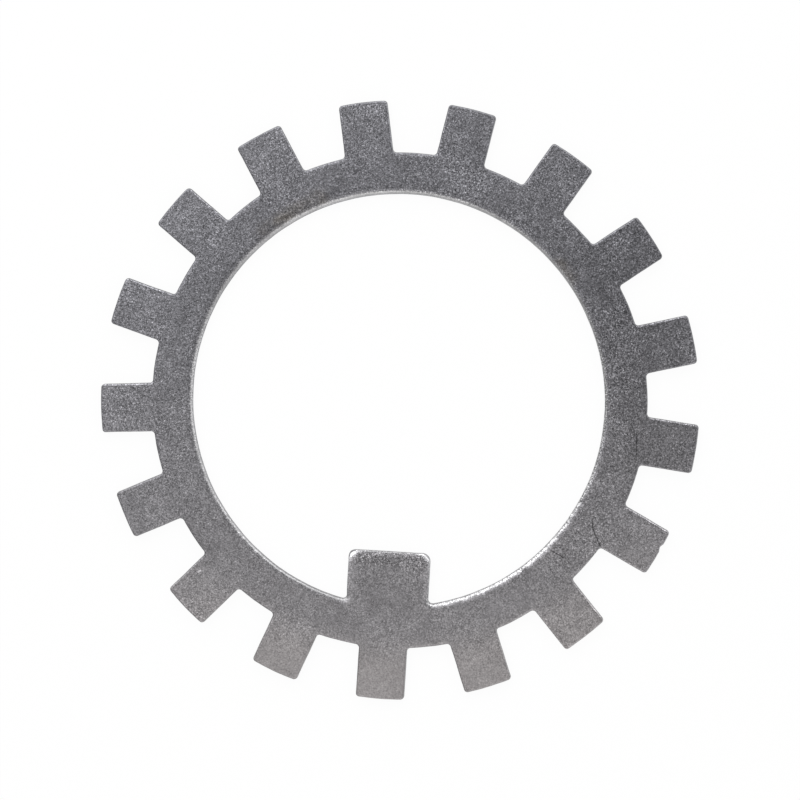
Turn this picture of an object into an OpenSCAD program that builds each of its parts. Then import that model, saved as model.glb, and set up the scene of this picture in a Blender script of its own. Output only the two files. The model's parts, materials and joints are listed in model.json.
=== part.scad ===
// Flat toothed lock washer: a stamped ring with locking tabs round its rim and a wide key tab in its bore.
// The ring lies on z = 0 with its axis on Z, and the key tab points along -Y.
// The bore and key tab were pierced from above, so the rounded edge that the punch draws in is on the top.
// The rim was blanked from the other side, so its rounded edge is underneath.

/* [Ring] */
// Bore diameter
bore_d = 50.9; // [44:0.1:54]
// Diameter of the rim between the locking tabs
root_d = 61.2; // [58:0.2:66]
// Thickness of the sheet
thickness = 1.25; // [0.9:0.05:2]

/* [Locking tabs] */
// Number of locking tabs
tab_count = 17; // [8:1:21]
// Diameter over the tips of the tabs
outer_d = 74; // [68:0.5:80]
// Width of a tab between its parallel sides
tab_w = 6; // [4:0.1:8]
// Plan radius of the corners at a tab's tip
tab_corner_r = 0.45; // [0.2:0.05:1.5]
// Plan radius of the fillets at a tab's foot
tab_foot_r = 0.45; // [0.2:0.05:1.2]

/* [Key tab] */
// Width of the key tab between its parallel sides
key_w = 10.1; // [6:0.1:14]
// Distance from the axis to the flat end of the key tab
key_reach = 18.7; // [16:0.1:22]
// Plan radius of the corners at the key tab's end
key_corner_r = 1; // [0.6:0.1:2.5]
// Plan radius of the fillets at the key tab's foot
key_foot_r = 0.5; // [0.3:0.1:1.5]

/* [Edges] */
// Radius of the drawn-in edge that a punch leaves
roll_r = 0.5; // [0.2:0.05:0.55]
// Width of the tumbled bevel on the opposite edge
bevel_w = 0.12; // [0.05:0.01:0.2]

/* [Hidden] */
$fn = 96;
bore_r = bore_d / 2;
root_r = root_d / 2;
outer_r = outer_d / 2;
pitch = 360 / tab_count;
// how far a cutter passes the faces it cuts
over = 1;
// how deep an added piece reaches into the sheet that it joins
bite = 2 * roll_r;
// centre of a tab's tip corner, with +X out along the tab
tip_y = tab_w / 2 - tab_corner_r;
tip_x = sqrt(pow(outer_r - tab_corner_r, 2) - pow(tip_y, 2));
// centre of a tab's foot fillet
foot_y = tab_w / 2 + tab_foot_r;
foot_x = sqrt(pow(root_r + tab_foot_r, 2) - pow(foot_y, 2));
// centre of the key tab's end corner
key_corner_x = key_w / 2 - key_corner_r;
key_corner_y = -key_reach - key_corner_r;
// centre of the key tab's foot fillet
key_foot_x = key_w / 2 + key_foot_r;
key_foot_y = -sqrt(pow(bore_r - key_foot_r, 2) - pow(key_foot_x, 2));
// the key tab's foot is drawn in a little wider than the edges it joins, so that they cross cleanly
key_foot_roll = 1.3 * roll_r;

// what rounding leaves out of a square corner that points to -X and -Y
module round_off(r) {
    difference() {
        translate([-over, -over]) square(r + over);
        translate([r, r]) circle(r);
    }
}

// what a 45 degree bevel leaves out of a square corner that points to -X and -Y
module bevel_off(w) {
    polygon([[-over, -over], [w + over, -over], [-over, w + over]]);
}

// half of a sheet section, out to an edge that is rounded below and bevelled above
module edge_section(reach) {
    difference() {
        square([reach, thickness]);
        translate([reach, 0]) mirror([1, 0]) round_off(roll_r);
        translate([reach, thickness]) rotate(180) bevel_off(bevel_w);
    }
}

// turns a piece over within the sheet, so that the rounded edge comes on top
module turned_over() {
    translate([0, 0, thickness]) mirror([0, 0, 1]) children();
}

// disc of sheet with that edge all round
module disc(r) {
    rotate_extrude() edge_section(r);
}

// strip of sheet along +X with that edge on both sides
module strip(length, width) {
    rotate([90, 0, 90]) linear_extrude(length) {
        edge_section(width / 2);
        mirror([1, 0]) edge_section(width / 2);
    }
}

// round hole through the sheet, drawn in at its top edge and bevelled underneath
module pierced_hole(r, top_r) {
    inner = min(over, r);
    rotate_extrude() {
        translate([0, -over]) square([r, thickness + 2 * over]);
        translate([0, thickness]) square([r + top_r, over]);
        translate([r, thickness]) mirror([0, 1]) difference() {
            square(top_r);
            translate([top_r, top_r]) circle(top_r);
        }
        translate([r, 0]) polygon([[-inner, -over], [bevel_w + over, -over], [-inner, bevel_w + inner]]);
    }
}

// waste outside one rounded corner of a tab's tip
module tip_corner_waste() {
    reach = tab_corner_r + over;
    radial = reach * [tip_x, tip_y] / norm([tip_x, tip_y]);
    translate([tip_x, tip_y, -over]) linear_extrude(thickness + 2 * over) difference() {
        polygon([[0, 0], radial, [reach, reach], [0, reach]]);
        circle(tab_corner_r);
    }
}

// straight part of a tab, from inside its foot to the arc of its tip
module tab_blade() {
    start = foot_x - tab_foot_r / 2;
    difference() {
        intersection() {
            translate([start, 0, 0]) strip(outer_r - start + over, tab_w);
            disc(outer_r);
        }
        tip_corner_waste();
        mirror([0, 1, 0]) tip_corner_waste();
    }
}

// foot of a tab with its two fillets, where the edge is not drawn in
module tab_foot() {
    inside = (root_r - bite) * [foot_x, foot_y] / norm([foot_x, foot_y]);
    linear_extrude(thickness) difference() {
        polygon([inside, [foot_x, foot_y], [foot_x, -foot_y], [inside[0], -inside[1]]]);
        translate([foot_x, foot_y]) circle(tab_foot_r);
        translate([foot_x, -foot_y]) circle(tab_foot_r);
    }
}

// waste outside one rounded corner of the key tab's end
module key_corner_waste() {
    side = key_corner_r + over;
    translate([key_corner_x, key_corner_y, 0]) difference() {
        translate([0, 0, -over]) cube([side, side, thickness + 2 * over]);
        turned_over() disc(key_corner_r);
    }
}

// straight-sided part of the key tab, from inside the ring to its flat end
module key_blade() {
    far = bore_r + bite;
    difference() {
        turned_over() intersection() {
            translate([0, -far, 0]) rotate(90) strip(far, key_w);
            translate([-key_w, -key_reach - far, 0]) strip(2 * key_w, 2 * far);
        }
        key_corner_waste();
        mirror([1, 0, 0]) key_corner_waste();
    }
}

// one fillet at the key tab's foot
module key_foot() {
    inside = key_w / 2 - bite;
    out = (bore_r + bite) * [key_foot_x, key_foot_y] / norm([key_foot_x, key_foot_y]);
    difference() {
        linear_extrude(thickness) polygon([
            [key_foot_x, key_foot_y],
            [inside, key_foot_y],
            [inside, out[1]],
            out,
        ]);
        translate([key_foot_x, key_foot_y, 0]) pierced_hole(key_foot_r, key_foot_roll);
    }
}

// rim and locking tabs, before the bore is pierced
module blank() {
    disc(root_r);
    for (k = [0 : tab_count - 1]) {
        rotate(k * pitch - 90) {
            tab_blade();
            tab_foot();
        }
    }
}

module lock_washer() {
    color([0.46, 0.46, 0.48]) {
        difference() {
            blank();
            pierced_hole(bore_r, roll_r);
        }
        key_blade();
        key_foot();
        mirror([1, 0, 0]) key_foot();
    }
}

lock_washer();
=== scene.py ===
import json
import math

import bpy
import numpy as np
from mathutils import Matrix, Vector, noise


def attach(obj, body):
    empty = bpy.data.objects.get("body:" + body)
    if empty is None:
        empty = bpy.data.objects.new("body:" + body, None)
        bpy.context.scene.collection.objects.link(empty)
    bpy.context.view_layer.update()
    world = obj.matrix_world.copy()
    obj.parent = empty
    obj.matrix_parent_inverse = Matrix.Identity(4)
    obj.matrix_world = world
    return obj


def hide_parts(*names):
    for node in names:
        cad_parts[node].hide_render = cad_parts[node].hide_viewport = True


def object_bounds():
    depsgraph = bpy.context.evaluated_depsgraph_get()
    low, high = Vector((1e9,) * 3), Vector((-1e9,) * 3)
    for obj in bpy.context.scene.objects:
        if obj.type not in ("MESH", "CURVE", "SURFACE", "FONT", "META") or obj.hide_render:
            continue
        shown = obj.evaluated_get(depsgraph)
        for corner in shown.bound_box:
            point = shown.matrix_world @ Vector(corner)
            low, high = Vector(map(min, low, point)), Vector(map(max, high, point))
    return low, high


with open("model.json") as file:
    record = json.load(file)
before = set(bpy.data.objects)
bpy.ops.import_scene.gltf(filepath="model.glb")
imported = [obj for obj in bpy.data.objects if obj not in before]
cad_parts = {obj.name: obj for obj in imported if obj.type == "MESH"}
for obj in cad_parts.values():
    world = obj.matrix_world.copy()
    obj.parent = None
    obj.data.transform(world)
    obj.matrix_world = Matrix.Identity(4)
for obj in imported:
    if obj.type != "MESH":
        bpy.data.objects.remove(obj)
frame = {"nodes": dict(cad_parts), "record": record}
cad_low, cad_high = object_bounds()

MM = 0.001

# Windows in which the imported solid's sizes are read, in millimetres
GAP_HALF = 1.6
TAB_WINDOW_HALF = 4.5
PAST_ROOT = 1.5
INSIDE_BORE = 2.0
TOUCHING = 1e-3

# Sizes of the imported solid, in millimetres
cad_mesh = frame["nodes"]["lock_washer"].data
points = np.array([v.co for v in cad_mesh.vertices]) / MM
radii = np.hypot(points[:, 0], points[:, 1])
mounts = {m["name"]: m for m in frame["record"]["mounts"]}
TAB_COUNT = mounts["locking_tabs"]["dims"]["count"]
BORE_R = mounts["keyed_bore"]["dims"]["r_mm"]
THICK = points[:, 2].max()
TIP_R = radii.max()
in_top_gap = (np.abs(points[:, 0]) < GAP_HALF) & (points[:, 1] > BORE_R)
ROOT_R = radii[in_top_gap].max()
on_key_blade = (points[:, 1] < 0) & (radii < BORE_R - INSIDE_BORE)
KEY_HALF = np.abs(points[on_key_blade, 0]).max()
KEY_REACH = -points[on_key_blade, 1].max()
on_key_side_tab = points[:, 1] < -(ROOT_R + PAST_ROOT)
near_that_tab = on_key_side_tab & (np.abs(points[:, 0]) < TAB_WINDOW_HALF)
TAB_HALF = np.abs(points[near_that_tab, 0]).max()
above_axis = points[:, 1] > 0
ROLL = radii[above_axis & (points[:, 2] > THICK - TOUCHING)].min() - BORE_R
BEVEL = radii[above_axis & (points[:, 2] < TOUCHING)].min() - BORE_R

# Plan radii of the corners and fillets, in millimetres
TAB_CORNER = 0.45
TAB_FOOT = 0.45
KEY_CORNER = 1.0
KEY_FOOT = 0.5

# Mesh spacing, as segments of each stretch of the outline
N_GAP = 16
N_TIP = 28
N_HALF_CORNER = 3
N_FOOT = 5
N_SIDE = 16
N_KEY_SIDE = 18
N_RING = 13
N_BASE = N_TIP + 2 * N_HALF_CORNER


def arc(centre, radius, start, end, count):
    a = np.linspace(start, end, count + 1)
    return np.stack([centre[0] + radius * np.cos(a), centre[1] + radius * np.sin(a)], 1)


def line(a, b, count):
    t = np.linspace(0, 1, count + 1)[:, None]
    return np.array(a) * (1 - t) + np.array(b) * t


def chain(*runs):
    """Joins runs of points that share their end points."""
    return np.concatenate([runs[0]] + [r[1:] for r in runs[1:]])


def turned(run, angle):
    c, s = math.cos(angle), math.sin(angle)
    return run @ np.array([[c, s], [-s, c]])


def flipped(run):
    return run[::-1] * np.array([1, -1])


def unevenness(run, size, seed):
    """Smooth noise from -1 to 1 at each point of a run, with bumps of about this size."""
    return np.array([noise.noise(Vector((x / size, y / size, seed))) for x, y in run])


def waves(run, parts):
    """Unevenness in several sizes at once, each given as amount, size and seed."""
    return sum(amount * unevenness(run, size, seed) for amount, size, seed in parts)


def smooth(low, high, x):
    """Zero up to low and one from high on, with a smooth step between."""
    t = np.clip((x - low) / (high - low), 0, 1)
    return t * t * (3 - 2 * t)


def reach_from_axis(run):
    return np.hypot(run[:, 0], run[:, 1])


FOOT_Y = TAB_HALF + TAB_FOOT
FOOT_X = math.sqrt((ROOT_R + TAB_FOOT) ** 2 - FOOT_Y**2)
FOOT_ANGLE = math.atan2(FOOT_Y, FOOT_X)
PITCH = 2 * math.pi / TAB_COUNT
FIRST = -math.pi / 2
LEAST_CORNER = 0.04


def tab_edges(inset):
    """Side and tip of a tab that points along +X, moved into the metal by inset."""
    half, tip_r = TAB_HALF - inset, TIP_R - inset
    corner, foot = max(TAB_CORNER - inset, LEAST_CORNER), TAB_FOOT + inset
    cy = half - corner
    cx = math.sqrt((tip_r - corner) ** 2 - cy**2)
    lean = math.atan2(cy, cx)
    middle = (-math.pi / 2 - lean) / 2
    side = chain(
        arc((FOOT_X, -FOOT_Y), foot, math.pi - FOOT_ANGLE, math.pi / 2, N_FOOT),
        line((FOOT_X, -half), (cx, -half), N_SIDE),
        arc((cx, -cy), corner, -math.pi / 2, middle, N_HALF_CORNER),
    )
    turn = arc((cx, -cy), corner, middle, -lean, N_HALF_CORNER)
    tip = chain(turn, arc((0, 0), tip_r, -lean, lean, N_TIP), flipped(turn))
    return side, tip


# A small nick in one tab's tip: which tab, where across it, half its width and its depth
NICK_TAB = 3
NICK_AT = 0.75
NICK_HALF = 0.42
NICK_DEPTH = 0.2


# Unevenness of the edges: amount, size of the bumps in millimetres and seed
RIM_WAVES = [(0.3, 0.9, 3.1), (0.12, 0.35, 7.7)]
UNDER_WAVES = [(0.05, 2.4, 3.1)]
BORE_SWELL = [(0.1, 2.4, 1.3)]
BORE_BUMPS = [(1.0, 0.8, 5.9), (1.0, 0.35, 2.6)]
KEY_END_BUMPS = [(0.4, 0.4, 9.2)]
# Usual width of the rounded edge underneath, so that its corners don't fold
UNDER_WIDTH = 0.9


def even_outer_runs(inset):
    """For each tab, its side, tip and other side, then the gap that follows it."""
    runs = []
    for k in range(TAB_COUNT):
        side, tip = tab_edges(inset)
        if k == NICK_TAB:
            away = np.clip(1 - np.abs(tip[:, 1] - NICK_AT) / NICK_HALF, 0, 1)
            tip = tip - np.stack([NICK_DEPTH * np.sqrt(away), 0 * away], 1)
        at = FIRST + k * PITCH
        gap = arc((0, 0), ROOT_R - inset, at + FOOT_ANGLE, at + PITCH - FOOT_ANGLE, N_GAP)
        runs.append((turned(side, at), turned(tip, at), turned(flipped(side), at), gap))
    return runs


def outer_share(run):
    """How wide the outer edge is worn at each point, as a share of its usual width."""
    return 1 + waves(run, RIM_WAVES)


def under_share(run):
    """The same for the rounded edge underneath."""
    return UNDER_WIDTH + waves(run, UNDER_WAVES)


KEY_FOOT_X = KEY_HALF + KEY_FOOT
KEY_FOOT_ANGLE = math.asin(KEY_FOOT_X / (BORE_R - KEY_FOOT))
KEY_FOOT_Y = -(BORE_R - KEY_FOOT) * math.cos(KEY_FOOT_ANGLE)

# Angles of the ring's columns, counted from the key tab's middle line
outer_angles = np.concatenate(
    [
        k * PITCH
        + np.concatenate(
            [
                np.linspace(-FOOT_ANGLE, FOOT_ANGLE, N_BASE + 1)[:-1],
                np.linspace(FOOT_ANGLE, PITCH - FOOT_ANGLE, N_GAP + 1)[:-1],
            ]
        )
        for k in range(TAB_COUNT)
    ]
)
outer_angles = np.roll(outer_angles, -(N_BASE // 2))
outer_angles[-(N_BASE // 2) :] += 2 * math.pi
COLUMNS = len(outer_angles)
KEY_COLUMNS = int(np.argmin(np.abs(outer_angles[: COLUMNS // 2] - KEY_FOOT_ANGLE)))
seam = outer_angles[KEY_COLUMNS]
inner_angles = np.interp(
    outer_angles,
    [0, seam, 2 * math.pi - seam, 2 * math.pi],
    [0, KEY_FOOT_ANGLE, 2 * math.pi - KEY_FOOT_ANGLE, 2 * math.pi],
)
# Under a tab the ring's border bows away from it, because the fillets start along the ring's own curve
KEY_BOW = 1.2
TAB_BOW = 0.5
from_key = np.minimum(inner_angles, 2 * math.pi - inner_angles)
key_bow = KEY_BOW * np.cos(np.clip(from_key / KEY_FOOT_ANGLE, 0, 1) * math.pi / 2)
from_tab = np.abs((outer_angles + PITCH / 2) % PITCH - PITCH / 2)
tab_bow = TAB_BOW * np.cos(np.clip(from_tab / FOOT_ANGLE, 0, 1) * math.pi / 2)
N_KEY_HALF_CORNER = 5
N_KEY_END = 2 * KEY_COLUMNS - 2 * N_KEY_HALF_CORNER


def even_inner_runs(inset):
    """Side, end and other side of the key tab, then the bore back to its first side."""
    half, end = KEY_HALF - inset, -KEY_REACH - inset
    corner, foot = KEY_CORNER - inset, KEY_FOOT + inset
    side = chain(
        arc((-KEY_FOOT_X, KEY_FOOT_Y), foot, -math.pi / 2 - KEY_FOOT_ANGLE, 0, N_FOOT),
        line((-half, KEY_FOOT_Y), (-half, end - corner), N_KEY_SIDE),
        arc((corner - half, end - corner), corner, math.pi, 3 * math.pi / 4, N_KEY_HALF_CORNER),
    )
    turn = arc((corner - half, end - corner), corner, 3 * math.pi / 4, math.pi / 2, N_KEY_HALF_CORNER)
    mirror = np.array([-1, 1])
    tip = chain(turn, line((corner - half, end), (half - corner, end), N_KEY_END), turn[::-1] * mirror)
    open_angles = inner_angles[KEY_COLUMNS : COLUMNS - KEY_COLUMNS + 1] + FIRST
    bore = (BORE_R + inset) * np.stack([np.cos(open_angles), np.sin(open_angles)], 1)
    return [(side, tip, side[::-1] * mirror, bore)]


# Width of the drawn-in edge on the key tab, as a share of its width on the bore
KEY_LEFT_SHARE = 0.3
KEY_RIGHT_SHARE = 0.45
KEY_END_SHARE = 0.3
KEY_LEFT_CORNER_SHARE = 0.98
KEY_RIGHT_CORNER_SHARE = 0.95
# The bore's drawn-in edge by direction: degrees, width as a share of the usual, lumpiness, and wear with a
# painted highlight that follows the light's direction
BORE_EDGE = [
    (0, 0.95, 0.08, 0.9),
    (45, 1.2, 0.08, 1.0),
    (90, 1.5, 0.08, 0.9),
    (120, 1.6, 0.08, 1.2),
    (150, 1.25, 0.1, 0.85),
    (185, 1.05, 0.15, 1.6),
    (215, 1.05, 0.2, 1.75),
    (250, 1.0, 0.15, 0.6),
    (290, 1.25, 0.22, 1.45),
    (315, 1.25, 0.3, 1.75),
    (345, 0.95, 0.2, 1.05),
    (360, 0.95, 0.08, 0.9),
]
BORE_TOWARDS, BORE_SHARE, BORE_LUMPS, BORE_RUB_AND_HIGHLIGHT = zip(*BORE_EDGE)
# How worn the key tab's edge is, with a painted highlight in it, most on its corners
KEY_CORNER_RUB_AND_HIGHLIGHT = 1.5
KEY_SIDE_RUB_AND_HIGHLIGHT = 0.9
KEY_END_RUB_AND_HIGHLIGHT = 0.2


def on_key_share(run):
    """Zero on the bore and one on the key tab."""
    return smooth(0.1, 1.6, BORE_R - reach_from_axis(run))


def bore_share(run):
    """How wide the bore's drawn-in edge is at each point, as a share of the usual, and how it wavers."""
    towards = np.degrees(np.arctan2(run[:, 1], run[:, 0])) % 360
    lumps = np.interp(towards, BORE_TOWARDS, BORE_LUMPS)
    wave = waves(run, BORE_SWELL) + lumps * waves(run, BORE_BUMPS)
    return np.interp(towards, BORE_TOWARDS, BORE_SHARE), wave


def inner_share(run):
    """How wide the drawn-in edge is on the bore and the key tab, as a share of its usual width."""
    x, y = np.abs(run[:, 0]), run[:, 1]
    on_key = on_key_share(run)
    end = smooth(0.2, 1.4, KEY_HALF - x)
    corner = np.exp(-((x - KEY_HALF + 0.29) ** 2 + (y + KEY_REACH + 0.29) ** 2) / 0.75**2)
    on_side = np.where(run[:, 0] < 0, KEY_LEFT_SHARE, KEY_RIGHT_SHARE)
    on_corner = np.where(run[:, 0] < 0, KEY_LEFT_CORNER_SHARE, KEY_RIGHT_CORNER_SHARE)
    on_end = on_side + (KEY_END_SHARE - on_side) * end
    key = on_end + (on_corner - on_end) * corner
    bore, wave = bore_share(run)
    rough_end = on_key * end * waves(run, KEY_END_BUMPS)
    return (bore + (key - bore) * on_key) * (1 + (wave + rough_end) * (1 - corner))


def flat_share(run):
    """Where the flat top face ends: just inside the drawn-in edge on the bore, and evenly on the key tab."""
    bore, wave = bore_share(run)
    on_key = on_key_share(run)
    return (bore * (1 + wave) + 0.06) * (1 - on_key) + on_key


def worn(even_runs, share):
    """The runs with the uneven width that tumbling and the punch left on the edge."""

    def runs(inset):
        return [
            tuple(a + (b - a) * share(a)[:, None] for a, b in zip(sharp, moved))
            for sharp, moved in zip(even_runs(0.0), even_runs(inset))
        ]

    return runs


outer_runs = worn(even_outer_runs, outer_share)
under_runs = worn(even_outer_runs, under_share)
inner_runs = worn(even_inner_runs, inner_share)
flat_runs = worn(even_inner_runs, flat_share)


def coons(base, tip, side_a, side_b):
    """Grid of points between four runs; rows go from base to tip."""
    u = np.linspace(0, 1, len(base))[None, :, None]
    v = np.linspace(0, 1, len(side_a))[:, None, None]
    ruled = (1 - v) * base[None] + v * tip[None] + (1 - u) * side_a[:, None] + u * side_b[:, None]
    corners = (1 - u) * (1 - v) * base[0] + u * (1 - v) * base[-1] + (1 - u) * v * tip[0] + u * v * tip[-1]
    return ruled - corners


class Builder:
    def __init__(self):
        self.rows, self.faces, self.count = [], [], 0

    def add(self, xyz):
        xyz = np.asarray(xyz).reshape(-1, 3)
        first = self.count
        self.rows.append(xyz)
        self.count += len(xyz)
        return np.arange(first, self.count)

    def grid(self, ids, flip):
        a, b, c, d = ids[:-1, :-1], ids[1:, :-1], ids[1:, 1:], ids[:-1, 1:]
        quad = np.stack([a, d, c, b] if flip else [a, b, c, d], -1).reshape(-1, 4)
        self.faces.append(quad)


def at_height(run, z):
    return np.concatenate([run, np.broadcast_to(z, len(run))[:, None]], 1)


def circle_points(radius, angles):
    return radius * np.stack([np.cos(angles), np.sin(angles)], 1)


def face(builder, rim_runs, rim_share, out_inset, bore_runs, bore_width, in_inset, z, upward):
    """One flat side of the sheet. Returns its outer and inner border as vertex numbers."""
    runs = rim_runs(out_inset)
    key_a, key_end, key_b, bore = bore_runs(in_inset)[0]
    t = np.linspace(0, 1, N_RING + 1)[:, None]
    angle = inner_angles * (1 - t) + outer_angles * t + FIRST
    key_columns = np.arange(-KEY_COLUMNS, KEY_COLUMNS + 1) % COLUMNS
    width = bore_width(circle_points(BORE_R, angle[0]))
    width[key_columns] = np.linspace(width[key_columns[0]], width[key_columns[-1]], len(key_columns))
    low = BORE_R + in_inset * width + key_bow
    high = ROOT_R - out_inset * rim_share(circle_points(ROOT_R, angle[-1])) - tab_bow
    radius = low * (1 - t) + high * t
    ring = np.stack([radius * np.cos(angle), radius * np.sin(angle), 0 * angle + z], -1)
    ids = builder.add(ring).reshape(N_RING + 1, COLUMNS)
    builder.grid(np.concatenate([ids, ids[:, :1]], 1), not upward)
    border = []
    for k, (side_a, tip, side_b, gap) in enumerate(runs):
        start = k * (N_BASE + N_GAP) - N_BASE // 2
        base_ids = ids[-1][np.arange(start, start + N_BASE + 1) % COLUMNS]
        base = ring[-1][np.arange(start, start + N_BASE + 1) % COLUMNS][:, :2]
        patch = coons(base, tip, side_a, side_b[::-1])
        rest = builder.add(np.concatenate([patch[1:], np.full(patch[1:].shape[:2] + (1,), z)], -1))
        tab = np.concatenate([base_ids[None], rest.reshape(patch.shape[0] - 1, -1)])
        builder.grid(tab, not upward)
        gap_ids = ids[-1][np.arange(start + N_BASE, start + N_BASE + N_GAP + 1) % COLUMNS]
        border += [tab[:, 0], tab[-1, 1:], tab[::-1, -1][1:], gap_ids[1:-1]]
    patch = coons(ring[0][key_columns][:, :2], key_end, key_a, key_b[::-1])
    rest = builder.add(np.concatenate([patch[1:], np.full(patch[1:].shape[:2] + (1,), z)], -1))
    key = np.concatenate([ids[0][key_columns][None], rest.reshape(patch.shape[0] - 1, -1)])
    builder.grid(key, upward)
    bore_ids = ids[0][np.arange(KEY_COLUMNS, COLUMNS - KEY_COLUMNS + 1) % COLUMNS]
    inner = np.concatenate([key[:, 0], key[-1, 1:], key[::-1, -1][1:], bore_ids[1:-1]])
    return np.concatenate(border), inner


def loop(runs):
    """The border's points in the order in which face() gives its vertices."""
    return np.concatenate([np.concatenate([a, t[1:], b[1:], g[1:-1]]) for a, t, b, g in runs])


def wall(builder, top_ids, levels, bottom_ids, flip):
    rings = [top_ids] + [builder.add(p) for p in levels] + [bottom_ids]
    ids = np.stack(rings)
    builder.grid(np.concatenate([ids, ids[:, :1]], 1), flip)


# A blanked edge: inset from the outline and depth below the face on its drawn-in side, as shares of the roll
DRAWN = [
    (1.8, 0.0),
    (1.5, 0.005),
    (1.2, 0.024),
    (0.9, 0.06),
    (0.6, 0.125),
    (0.4, 0.195),
    (0.2, 0.325),
    (0.06, 0.51),
    (0.0, 0.77),
]
# The broken half of the edge leans in by this much, and ends in the bevel
BREAK = 0.03
BREAK_SHARE = 0.4
BROKEN = [(BREAK, BEVEL), (0.3 * BEVEL + BREAK, 0.4 * BEVEL)]
FACE_INSET = BEVEL + BREAK


def edge_levels(even_runs, drawn_runs, drawn_share, broken_runs):
    """Rings of points down a blanked edge, from its drawn-in side, with depths below that side."""
    sharp = loop(even_runs(0.0))
    width = drawn_share(sharp)
    levels = [(loop(drawn_runs(ROLL * i)), ROLL * d * width) for i, d in DRAWN]
    levels.append((sharp, (1 - BREAK_SHARE) * THICK))
    levels += [(loop(broken_runs(i)), THICK - d) for i, d in BROKEN]
    return levels


washer = Builder()
drawn_inset = ROLL * DRAWN[0][0]
top_out, top_in = face(
    washer, outer_runs, outer_share, FACE_INSET, flat_runs, flat_share, drawn_inset, THICK, True
)
low_out, low_in = face(
    washer, under_runs, under_share, drawn_inset, inner_runs, inner_share, FACE_INSET, 0.0, False
)
down = edge_levels(even_inner_runs, inner_runs, inner_share, inner_runs)
wall(washer, top_in, [at_height(p, THICK - d) for p, d in down], low_in, True)
up = edge_levels(even_outer_runs, under_runs, under_share, outer_runs)[1:]
wall(washer, top_out, [at_height(p, d) for p, d in up[::-1]], low_out, False)

verts = np.concatenate(washer.rows)
faces = np.concatenate(washer.faces)

# Punching drew the key tab's corners down, more than the edges between them
CORNER_SINK = 0.2
CORNER_REACH = 1.2
CORNER_IN = 0.1
CORNER_AT = (KEY_HALF - CORNER_IN, -KEY_REACH - CORNER_IN)
UPPER_PART = (0.3, 0.75)
from_corner = np.hypot(np.abs(verts[:, 0]) - CORNER_AT[0], verts[:, 1] - CORNER_AT[1])
upper = smooth(*UPPER_PART, verts[:, 2] / THICK)
verts[:, 2] -= CORNER_SINK * np.clip(1 - from_corner / CORNER_REACH, 0, 1) ** 2 * upper

# The key tab's corner at -X is a little fuller than the other
FULLER = 0.085
FULLER_REACH = 0.6
corner_in = (1 - math.sqrt(0.5)) * KEY_CORNER
from_left = np.hypot(verts[:, 0] + KEY_HALF - corner_in, verts[:, 1] + KEY_REACH + corner_in)
fuller = FULLER * np.exp(-((from_left / FULLER_REACH) ** 2))
left_centre = (KEY_CORNER - KEY_HALF, -KEY_REACH - KEY_CORNER)
in_left_corner = (verts[:, 0] < left_centre[0]) & (verts[:, 1] > left_centre[1])
from_outline = KEY_CORNER - np.hypot(verts[:, 0] - left_centre[0], verts[:, 1] - left_centre[1])
# The painted highlight is kept off the -X corner's outermost lip, which stays darker
dark_lip = np.where(in_left_corner, smooth(0.1, 0.3, from_outline), 1.0)
verts[:, 0] -= fuller
verts[:, 1] += fuller

# The key tab also sinks gently towards its end and the side at +X
END_SINK = 0.05
END_REACH = 1.1
TAB_INSIDE_BORE = 0.8
from_edge = np.minimum(-KEY_REACH - verts[:, 1], KEY_HALF - verts[:, 0])
on_tab = (reach_from_axis(verts) < BORE_R - TAB_INSIDE_BORE) & (verts[:, 1] < 0)
verts[:, 2] -= END_SINK * np.clip(1 - from_edge / END_REACH, 0, 1) ** 2 * upper * on_tab

# The bore and key tab were pierced a little off the rim's axis, and turned a little
PIERCE_SHIFT = (-0.1, 0.05)
PIERCE_TURN = 0.0107
PIERCE_FADE = (BORE_R + 1.2, ROOT_R - 1.0)
follows = 1 - smooth(*PIERCE_FADE, reach_from_axis(verts))
moved_x = PIERCE_SHIFT[0] - PIERCE_TURN * verts[:, 1]
moved_y = PIERCE_SHIFT[1] + PIERCE_TURN * verts[:, 0]
verts[:, 0] += follows * moved_x
verts[:, 1] += follows * moved_y

# No stretch of the outline is quite true
WAVER_X = [(0.03, 3.0, 11.0), (0.012, 0.8, 12.0)]
WAVER_Y = [(0.03, 3.0, 13.0), (0.012, 0.8, 14.0)]
verts[:, 0] += waves(verts[:, :2], WAVER_X)
verts[:, 1] += waves(verts[:, :2], WAVER_Y)
verts = np.clip(verts, np.array(cad_low) / MM, np.array(cad_high) / MM)

mesh = bpy.data.meshes.new("washer_surface")
mesh.from_pydata((verts * MM).tolist(), [], faces.tolist())
mesh.validate()
mesh.shade_smooth()

# How worn the drawn-in edge is, with a painted highlight that follows the light's direction, for the shader
towards = np.degrees(np.arctan2(verts[:, 1], verts[:, 0])) % 360
on_key_end = smooth(0.8, 1.7, KEY_HALF - np.abs(verts[:, 0]))
on_key_side = smooth(1.0, 2.2, -KEY_REACH - verts[:, 1])
key_rub_and_highlight = KEY_CORNER_RUB_AND_HIGHLIGHT + (KEY_SIDE_RUB_AND_HIGHLIGHT - KEY_CORNER_RUB_AND_HIGHLIGHT) * on_key_side
key_rub_and_highlight += (KEY_END_RUB_AND_HIGHLIGHT - key_rub_and_highlight) * on_key_end
rub = np.where(on_tab, key_rub_and_highlight * dark_lip, np.interp(towards, BORE_TOWARDS, BORE_RUB_AND_HIGHLIGHT))
mesh.attributes.new("rub", "FLOAT", "POINT").data.foreach_set("value", rub.astype(np.float32))
piece = bpy.data.objects.new("washer_surface", mesh)
bpy.context.scene.collection.objects.link(piece)


def material(name):
    made = bpy.data.materials.new(name)
    made.use_nodes = True
    tree = made.node_tree
    tree.nodes.clear()
    return made, tree


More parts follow.
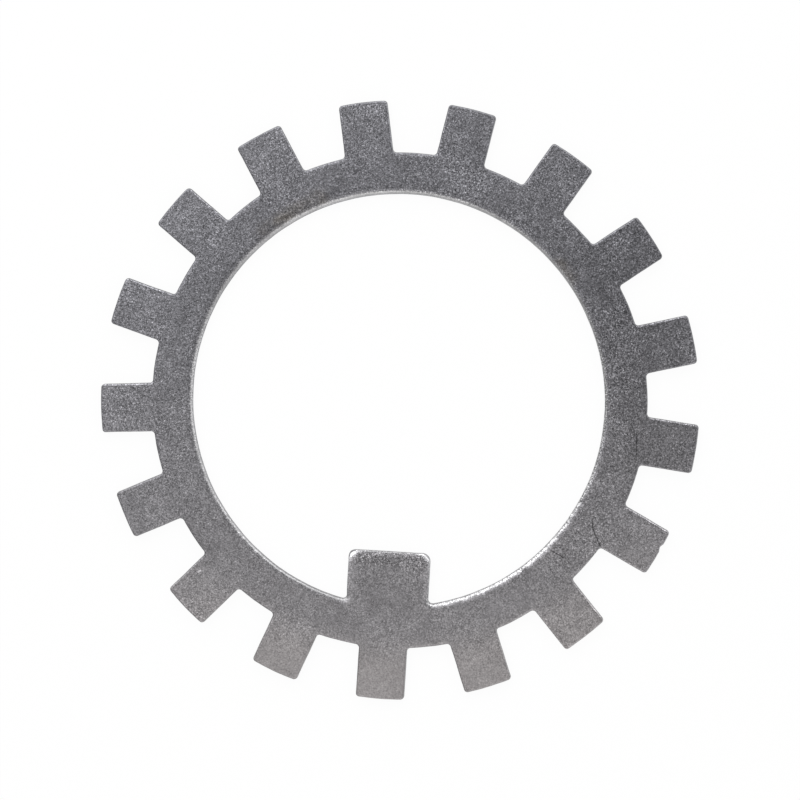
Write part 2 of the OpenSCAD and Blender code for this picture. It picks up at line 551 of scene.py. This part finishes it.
def node(tree, kind, inputs=None, **settings):
    """A shader node; an input is a value or another node's output."""
    made = tree.nodes.new("ShaderNode" + kind)
    for key, value in settings.items():
        setattr(made, key, value)
    for key, value in (inputs or {}).items():
        if isinstance(value, bpy.types.NodeSocket):
            tree.links.new(value, made.inputs[key])
        else:
            made.inputs[key].default_value = value
    return made


def maths(tree, operation, *inputs):
    return node(tree, "Math", dict(enumerate(inputs)), operation=operation).outputs[0]


def vectors(tree, operation, *inputs):
    return node(tree, "VectorMath", dict(enumerate(inputs)), operation=operation).outputs[0]


def times(tree, a, b):
    return maths(tree, "MULTIPLY", a, b)


def raised(tree, mask, amount):
    """One where the mask is zero, and one plus amount where it is full."""
    return maths(tree, "MULTIPLY_ADD", mask, amount, 1.0)


def without(tree, mask):
    return maths(tree, "SUBTRACT", 1.0, mask)


def dot(tree, a, b):
    return node(tree, "VectorMath", {0: a, 1: b}, operation="DOT_PRODUCT").outputs["Value"]


def length(tree, vector):
    return node(tree, "VectorMath", {0: vector}, operation="LENGTH").outputs["Value"]


def ranged(tree, value, low, high, to_low=0.0, to_high=1.0):
    """A smooth step from to_low to to_high while the value goes from low to high."""
    inputs = {"Value": value, "From Min": low, "From Max": high, "To Min": to_low, "To Max": to_high}
    return node(tree, "MapRange", inputs, interpolation_type="SMOOTHSTEP").outputs[0]


def grain(tree, place, scale, detail, distortion=0.0):
    """Noise about zero, in features of one over scale millimetres."""
    inputs = {"Vector": place, "Scale": scale, "Detail": detail, "Roughness": 0.5, "Distortion": distortion}
    fac = node(tree, "TexNoise", inputs).outputs["Fac"]
    return maths(tree, "SUBTRACT", fac, 0.5)


# Share of a mark's width over which it is full
MARK_CORE = 0.25


def near_segment(tree, place, a, b, width):
    """One on the stretch from a to b on the top face, falling to zero at width from it."""
    a, b = Vector((*a, THICK)), Vector((*b, THICK))
    along = b - a
    from_a = vectors(tree, "SUBTRACT", place, tuple(a))
    share = dot(tree, from_a, tuple(along / along.length_squared))
    share = node(tree, "Clamp", {"Value": share}).outputs[0]
    scaled = node(tree, "VectorMath", {0: tuple(along), "Scale": share}, operation="SCALE").outputs[0]
    rest = vectors(tree, "SUBTRACT", from_a, scaled)
    return ranged(tree, length(tree, rest), MARK_CORE * width, width, 1.0, 0.0)


# Colours of the face's own steel, of the face and of the tabs where they are painted lighter (painted light),
# of stains and of the drawn-in edges
STEEL = (0.181, 0.180, 0.194)
PAINTED_LIGHT_FACE_COLOUR = (0.282, 0.274, 0.284)
PAINTED_LIGHT_TABS_COLOUR = (0.325, 0.310, 0.313)
STAINED = (0.154, 0.143, 0.132)
RUBBED = (0.185, 0.184, 0.187)

# Hairline scratches with their shade, and stained places on the top face, in millimetres
SCRATCHES = [
    ((24.73, -12.87), (24.93, -14.1), 0.13, -0.6),
    ((24.93, -14.1), (25.92, -16.01), 0.13, -0.6),
    ((19.94, -17.01), (21.47, -17.78), 0.13, -0.6),
    ((29.45, -1.83), (29.63, -4.53), 0.13, -0.6),
    ((-23.5, -22.85), (-23.2, -22.63), 0.13, 1.6),
]
STAINS = [((-17.3, 19.9), (-11.4, 23.9), 2.0), ((18.7, 17.9), (20.0, 16.5), 1.6)]

# Places where the grain is coarser
PITTED = [((25.5, 10.0), (24.0, -17.0), 7.0), ((1.5, 28.3), (7.5, 27.6), 4.0)]

# The locking tabs from here to here are darker
DARKER_TABS_PLACE = (33.0, -5.0), (27.0, 20.0), 9.0
# ... and the face is painted lighter towards this side, where the light falls brighter (painted light)
PAINTED_LIGHT_TOWARDS = (0.12, -0.99, 0.0)
# The bore's drawn-in edge is broken up most on this side
JAGGED_TOWARDS = (0.8, -0.6, 0.0)
# The edges of the tabs on this side get no painted highlight and a painted shade
SHADED_TOWARDS = (-0.42, -0.91, 0.0)
# Outer edges that face this way get a painted highlight
HIGHLIGHT_FACING = (0.35, 0.94, 0.0)

# Grain: bumps per millimetre, detail and distortion
FINE = (6.0, 2.0, 0.5)
PITS = (7.5, 1.0)
CLOUD = (0.5, 3.0)
PATCHES = (0.22, 2.0)
PATCHES_SHIFT = (40.0, 0.0, 0.0)
STREAKS = (4.0, 2.0)
STREAK_STRETCH = (1.0, 1.0, 0.08)

# Ranges: start, end, and the values there if they aren't 0 and 1
# ... of how level the surface is
WALL = (0.15, 0.45, 1.0, 0.0)
FACE = (0.86, 0.985)
ROLLED = (0.927, 0.9976, 1.0, 0.0)
BEYOND_LIP = (0.2, 0.6)
# ... of Y, and of X for the key tab's lip
SMOOTHED = (5.0, 20.0, 0.3, 0.75)
COARSE = (-26.0, 10.0, 0.72, 1.1)
COARSE_LOWEST = (-34.0, -28.0, 0.6, 1.0)
KEY_LIP = (-4.6, -2.0, 0.36, 0.18)
# ... of the distance towards one of the sides above
PAINTED_LIGHT_FROM = (-20.0, 36.0)
PAINTED_LIGHT_TABS_FROM = (15.0, 33.0)
JAGGED = (10.0, 22.0, 0.5, 4.5)
SHADED_FROM = (16.0, 24.0)
# ... of the grain, for pits, painted glints and painted flecks of highlight, and of how far an edge faces the
# way with a painted highlight
PIT = (0.12, 0.24, 1.0, 0.75)
GLINT = (-0.1, -0.22, 1.0, 1.9)
END_GLINT = (-0.03, 0.1)
HIGHLIGHT_FACING_RANGE = (0.05, 0.5)

# How much a place adds to the grain or to the tone, as a share
PITTED_GRAIN = 0.18
ROUGH_END_GRAIN = 0.9
SPECKLE = 3.35
CLOUD_TONE = 0.5
DARKER_TABS_TONE = -0.18
STREAK_TONE = 1.2
RUB_AND_HIGHLIGHT_TONE = 1.14
SHADED_HIGHLIGHT_CUT = -0.9
SHADED_EDGE_TONE = -0.2
WALL_TONE = -0.4
CORNER_HIGHLIGHT_TONE = 0.43
LEFT_CORNER_HIGHLIGHT_TONE = 1.1
KEY_SIDE_TONE = 0.4
ROUGH_END_TONE = -0.2
END_GLINT_TONE = 1.3

steel, tree = material("tumbled_steel")
place = node(tree, "TexCoord").outputs["Object"]
place = node(tree, "VectorMath", {0: place, "Scale": 1 / MM}, operation="SCALE").outputs[0]
fine = grain(tree, place, *FINE)
pits = grain(tree, place, *PITS)
cloud = grain(tree, place, *CLOUD)
streak_place = vectors(tree, "MULTIPLY", place, STREAK_STRETCH)
streak = grain(tree, streak_place, *STREAKS)
geometry = node(tree, "NewGeometry")
levelness = maths(tree, "ABSOLUTE", node(tree, "SeparateXYZ", {0: geometry.outputs["Normal"]}).outputs["Z"])
on_wall = ranged(tree, levelness, *WALL)
# The punch rubbed its drawn-in edge smooth, and the lower part of the face is worn smoother than the upper
on_face = ranged(tree, levelness, *FACE)
off_face = without(tree, on_face)
end_a, end_b = (-CORNER_AT[0] + 1.2, -KEY_REACH - 0.6), (CORNER_AT[0] - 0.8, -KEY_REACH - 0.9)
rough_end = near_segment(tree, place, end_a, end_b, 1.3)
corners = None
for side, width in ((1, 1.15), (-1, 1.5)):
    corner = (side * CORNER_AT[0], CORNER_AT[1])
    spot = near_segment(tree, place, corner, (corner[0], corner[1] - 0.05), width)
    corners = spot if corners is None else maths(tree, "MAXIMUM", corners, spot)
left_corner = spot
height_in_plan = node(tree, "SeparateXYZ", {0: place}).outputs["Y"]
smoothed = maths(tree, "MULTIPLY_ADD", corners, 0.6, ranged(tree, height_in_plan, *SMOOTHED))
smoothed = times(tree, off_face, smoothed)
coarse = ranged(tree, height_in_plan, *COARSE)
coarse = times(tree, coarse, ranged(tree, height_in_plan, *COARSE_LOWEST))
patches = grain(tree, vectors(tree, "ADD", place, PATCHES_SHIFT), *PATCHES)
coarse = times(tree, coarse, raised(tree, patches, 1.0))
coarse = times(tree, coarse, without(tree, smoothed))
coarse = times(tree, coarse, raised(tree, rough_end, ROUGH_END_GRAIN))
for a, b, width in PITTED:
    spot = near_segment(tree, place, a, b, width)
    coarse = times(tree, coarse, raised(tree, spot, PITTED_GRAIN))

speckle = maths(tree, "EXPONENT", times(tree, times(tree, fine, coarse), SPECKLE))
tone = times(tree, speckle, raised(tree, cloud, CLOUD_TONE))
# The tabs on the +X side are made darker
darker_tabs = near_segment(tree, place, *DARKER_TABS_PLACE)
tone = times(tree, tone, raised(tree, darker_tabs, DARKER_TABS_TONE))
# Bright specks in the grain are painted glints; the dark ones are pits
pit = ranged(tree, times(tree, pits, coarse), *PIT)
painted_glint = ranged(tree, times(tree, pits, coarse), *GLINT)
tone = times(tree, tone, times(tree, pit, painted_glint))
tone = times(tree, tone, raised(tree, times(tree, streak, on_wall), STREAK_TONE))
for a, b, width, shade in SCRATCHES:
    mark = near_segment(tree, place, a, b, width)
    tone = times(tree, tone, raised(tree, mark, shade))

# Drawn-in edges are worn and carry a painted highlight, the key tab's corners most; outer edges get a painted
# highlight on one side and painted shade on another
in_plan = vectors(tree, "MULTIPLY", place, (1, 1, 0))
from_axis = length(tree, in_plan)
outside = ranged(tree, from_axis, BORE_R + 2.0, ROOT_R - 1.0)
on_key = ranged(tree, from_axis, BORE_R - 1.5, BORE_R - 0.6, 1.0, 0.0)
across = node(tree, "SeparateXYZ", {0: place}).outputs["X"]
key_lip = times(tree, on_key, ranged(tree, across, *KEY_LIP))
lip = maths(tree, "SUBTRACT", levelness, key_lip)
off_lip = ranged(tree, lip, *BEYOND_LIP)
on_roll = times(tree, ranged(tree, levelness, *ROLLED), off_lip)
on_inner_roll = times(tree, on_roll, without(tree, outside))
stain = None
for a, b, width in STAINS:
    spot = near_segment(tree, place, a, b, width)
    stain = spot if stain is None else maths(tree, "MAXIMUM", stain, spot)
stain = times(tree, stain, maths(tree, "MULTIPLY_ADD", cloud, 2.0, 0.5))
# Painted light: the face and the tabs are painted lighter and warmer towards -Y, where more light falls
towards_painted_light = dot(tree, place, PAINTED_LIGHT_TOWARDS)
painted_light_face = ranged(tree, towards_painted_light, *PAINTED_LIGHT_FROM)
painted_light_face = times(tree, painted_light_face, without(tree, on_inner_roll))
colour = node(tree, "MixRGB", {0: painted_light_face, 1: (*STEEL, 1), 2: (*PAINTED_LIGHT_FACE_COLOUR, 1)}).outputs[0]
painted_light_tabs = ranged(tree, from_axis, ROOT_R - 2.5, ROOT_R + 3.0)
painted_light_tabs = times(tree, ranged(tree, towards_painted_light, *PAINTED_LIGHT_TABS_FROM), painted_light_tabs)
colour = node(tree, "MixRGB", {0: painted_light_tabs, 1: colour, 2: (*PAINTED_LIGHT_TABS_COLOUR, 1)}).outputs[0]
colour = node(tree, "MixRGB", {0: stain, 1: colour, 2: (*STAINED, 1)}).outputs[0]
colour = node(tree, "MixRGB", {0: on_inner_roll, 1: colour, 2: (*RUBBED, 1)}).outputs[0]
# The edge's wear and its painted highlight by direction, read from a vertex attribute
rub_and_highlight_there = node(tree, "Attribute", attribute_name="rub").outputs["Fac"]
rub_and_highlight_gain = times(tree, rub_and_highlight_there, RUB_AND_HIGHLIGHT_TONE)
towards_jagged = dot(tree, place, JAGGED_TOWARDS)
jagged = times(tree, ranged(tree, towards_jagged, *JAGGED), fine)
rub_and_highlight_gain = times(tree, rub_and_highlight_gain, maths(tree, "ADD", jagged, 1.0))
inner_rub_and_highlight = maths(tree, "MULTIPLY_ADD", on_roll, rub_and_highlight_gain, 1.0)
# Painted highlight on outer edges that face +Y, and painted shade on the tabs' edges on the -Y side
facing = dot(tree, geometry.outputs["Normal"], HIGHLIGHT_FACING)
outer_highlight = times(tree, on_roll, ranged(tree, facing, *HIGHLIGHT_FACING_RANGE))
outer_highlight = times(tree, outer_highlight, ranged(tree, from_axis, ROOT_R + 0.2, ROOT_R + 1.2, 0.2, 1.0))
outer_highlight = times(tree, outer_highlight, ranged(tree, from_axis, TIP_R - 0.7, TIP_R - 0.3, 1.0, 0.1))
towards_shaded = dot(tree, place, SHADED_TOWARDS)
shaded_side = ranged(tree, towards_shaded, *SHADED_FROM)
outer_highlight = times(tree, outer_highlight, raised(tree, shaded_side, SHADED_HIGHLIGHT_CUT))
outer_edge_light_and_shade = maths(tree, "MULTIPLY_ADD", outer_highlight, maths(tree, "MULTIPLY_ADD", fine, 6.0, 0.6), 1.0)
outer_edge_light_and_shade = times(tree, outer_edge_light_and_shade, raised(tree, times(tree, on_roll, shaded_side), SHADED_EDGE_TONE))
outer_edge_light_and_shade = times(tree, outer_edge_light_and_shade, raised(tree, on_wall, WALL_TONE))
edges = node(tree, "Mix", {0: outside, 2: inner_rub_and_highlight, 3: outer_edge_light_and_shade}).outputs[0]
tone = times(tree, tone, edges)
# Painted highlights: bright crescents on the key tab's corners and a lighter patch inside its -X corner
corner_highlight = times(tree, times(tree, corners, on_roll), rub_and_highlight_there)
tone = times(tree, tone, raised(tree, corner_highlight, CORNER_HIGHLIGHT_TONE))
inside_roll = times(tree, off_lip, without(tree, on_roll))
left_corner_highlight = times(tree, left_corner, inside_roll)
tone = times(tree, tone, raised(tree, left_corner_highlight, LEFT_CORNER_HIGHLIGHT_TONE))
for side, width in ((-1, 1.1), (1, 0.65)):
    foot, head = (side * (KEY_HALF - 0.1), 0.5 - BORE_R), (side * (KEY_HALF - 0.1), -KEY_REACH - 1.3)
    beside = times(tree, near_segment(tree, place, foot, head, width), inside_roll)
    tone = times(tree, tone, raised(tree, beside, KEY_SIDE_TONE))
tone = times(tree, tone, raised(tree, rough_end, ROUGH_END_TONE))
tone = times(tree, tone, ranged(tree, from_axis, ROOT_R - 2.0, ROOT_R + 3.0, 1.0, 1.1))
# Painted highlight: a dotted line of glints along the key tab's end edge
end_a, end_b = (-CORNER_AT[0] + 1.0, -KEY_REACH - 0.1), (CORNER_AT[0] - 1.0, -KEY_REACH - 0.1)
end_edge_glints = times(tree, near_segment(tree, place, end_a, end_b, 0.6), ranged(tree, pits, *END_GLINT))
tone = times(tree, tone, raised(tree, end_edge_glints, END_GLINT_TONE))
base = node(tree, "VectorMath", {0: colour, "Scale": tone}, operation="SCALE").outputs[0]
rough = maths(tree, "MULTIPLY_ADD", fine, 0.25, 0.33)
relief = times(tree, maths(tree, "ADD", fine, times(tree, pits, 0.4)), coarse)
bump = node(tree, "Bump", {"Strength": 1.0, "Distance": 0.025 * MM, "Height": relief}).outputs[0]
inputs = {"Base Color": base, "Roughness": rough, "Metallic": 1.0, "Normal": bump}
shader = node(tree, "BsdfPrincipled", inputs)
node(tree, "OutputMaterial", {"Surface": shader.outputs["BSDF"]})
mesh.materials.append(steel)

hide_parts("lock_washer")
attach(piece, "root")

# Floor: white to the camera and to reflections, and still takes the shadow
floor_mesh = bpy.data.meshes.new("floor")
FLOOR_HALF = 4.0
FLOOR_BELOW = 0.02
PAPER_GLOW = 0.95
floor_corners = [(i * FLOOR_HALF, j * FLOOR_HALF, 0) for i, j in ((-1, -1), (1, -1), (1, 1), (-1, 1))]
floor_mesh.from_pydata(floor_corners, [], [(0, 1, 2, 3)])
floor = bpy.data.objects.new("floor", floor_mesh)
floor.location.z = -FLOOR_BELOW * MM
bpy.context.scene.collection.objects.link(floor)
paper, tree = material("white_paper")
diffuse = node(tree, "BsdfDiffuse", {"Color": (0.85, 0.85, 0.85, 1)})
glow = node(tree, "Emission", {"Strength": 1.0})
path = node(tree, "LightPath")
seen = maths(tree, "MAXIMUM", path.outputs["Is Camera Ray"], path.outputs["Is Glossy Ray"])
seen = maths(tree, "MAXIMUM", seen, path.outputs["Is Transmission Ray"])
share = times(tree, seen, PAPER_GLOW)
mix = node(tree, "MixShader", {0: share, 1: diffuse.outputs[0], 2: glow.outputs[0]})
node(tree, "OutputMaterial", {"Surface": mix.outputs[0]})
floor_mesh.materials.append(paper)

# World: a soft white dome, dark round the camera and dimmer on one side; plain white where the camera sees it
DOME = 1.02
HOOD = 0.4
HOOD_TILT, HOOD_TOWARDS = math.radians(4), math.radians(-7)
HOOD_INNER, HOOD_OUTER = math.radians(26), math.radians(51)
DIM_SIDE = (-0.97, -0.24, 0.0)
DIMMED = (0.3, 0.85, 1.0, 0.52)
world = bpy.data.worlds.new("studio")
bpy.context.scene.world = world
world.use_nodes = True
tree = world.node_tree
tree.nodes.clear()
look = node(tree, "TexCoord").outputs["Generated"]
hood_axis = (
    math.sin(HOOD_TILT) * math.cos(HOOD_TOWARDS),
    math.sin(HOOD_TILT) * math.sin(HOOD_TOWARDS),
    math.cos(HOOD_TILT),
)
to_hood = dot(tree, look, hood_axis)
dome = ranged(tree, to_hood, math.cos(HOOD_OUTER), math.cos(HOOD_INNER), DOME, HOOD)
to_side = dot(tree, look, DIM_SIDE)
level = times(tree, dome, ranged(tree, to_side, *DIMMED))
soft = node(tree, "Background", {"Color": (1, 1, 1, 1), "Strength": level})
white = node(tree, "Background", {"Color": (1, 1, 1, 1), "Strength": 1.0})
path = node(tree, "LightPath")
mix = node(tree, "MixShader", {0: path.outputs["Is Camera Ray"], 1: soft.outputs[0], 2: white.outputs[0]})
node(tree, "OutputWorld", {"Surface": mix.outputs[0]})


def aimed(obj, eye, target, up=(0, 0, 1)):
    back = (Vector(eye) - Vector(target)).normalized()
    side = Vector(up).cross(back).normalized()
    top = back.cross(side)
    turn = Matrix((side, top, back)).transposed().to_4x4()
    obj.matrix_world = Matrix.Translation(Vector(eye)) @ turn


def area_light(name, eye, size, radiance, colour=(1, 1, 1)):
    """A rectangular lamp that faces the washer and looks this bright in a mirror."""
    lamp = bpy.data.lights.new(name, "AREA")
    lamp.shape = "RECTANGLE"
    lamp.size, lamp.size_y = size
    lamp.color = colour
    lamp.energy = radiance * math.pi * size[0] * size[1]
    obj = bpy.data.objects.new(name, lamp)
    obj.visible_camera = False
    bpy.context.scene.collection.objects.link(obj)
    aimed(obj, eye, (0, 0, 0))


# Lamps: name, place and size in metres, brightness and colour
area_light("back", (-0.1, 0.45, 0.34), (1.15, 0.5), 1.35)
area_light("front", (0.01, -0.149, 0.205), (0.2, 0.22), 0.55, (1.0, 0.98, 0.96))
area_light("upper_left", (-0.159, 0.122, 0.4), (0.25, 0.25), 1.36)

# Camera: almost straight down, from a little to the upper right of the picture
TILT = math.radians(5.5)
TOWARDS = math.radians(43.8)
ROLL_OF_PICTURE = math.radians(3.69)
DISTANCE = 0.5
PICTURE_WIDTH = 0.0985
SENSOR = 36.0
AIM = (0.16 * MM, 0.19 * MM, THICK * MM)
camera_data = bpy.data.cameras.new("camera")
camera = bpy.data.objects.new("camera", camera_data)
bpy.context.scene.collection.objects.link(camera)
bpy.context.scene.camera = camera
camera_data.sensor_width = SENSOR
camera_data.lens = SENSOR * DISTANCE / PICTURE_WIDTH
camera_data.clip_start, camera_data.clip_end = 0.01, 20.0
away = Vector(
    (math.sin(TILT) * math.cos(TOWARDS), math.sin(TILT) * math.sin(TOWARDS), math.cos(TILT))
)
picture_up = Vector((-math.sin(ROLL_OF_PICTURE), math.cos(ROLL_OF_PICTURE), 0))
aimed(camera, Vector(AIM) + away * DISTANCE, AIM, picture_up)

bpy.context.scene.view_settings.view_transform = "Standard"
